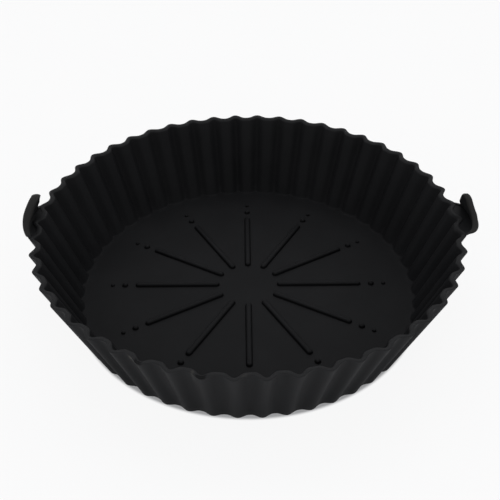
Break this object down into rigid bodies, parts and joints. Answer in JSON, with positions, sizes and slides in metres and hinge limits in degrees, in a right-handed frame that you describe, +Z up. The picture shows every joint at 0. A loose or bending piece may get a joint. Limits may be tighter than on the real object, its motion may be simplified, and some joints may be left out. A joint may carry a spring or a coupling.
{
  "type": "silicone cake pan",
  "caption": "Round silicone cake pan with a fluted sloping wall, a flat floor with radial ribs and studs, and two small upturned thumb ears on its rim.",
  "frame": {"origin": "centre of the flat resting face under the pan, on the flutes' own axis", "axes": "+Z up out of the pan, +X towards the ear that stands on the right in the picture, +Y away from the viewer"},
  "size_m": [0.216, 0.2044, 0.0563],
  "materials": {
    "silicone": "satin matte"
  },
  "bodies": {
    "root": {"pan": "silicone"}
  },
  "joints": []
}
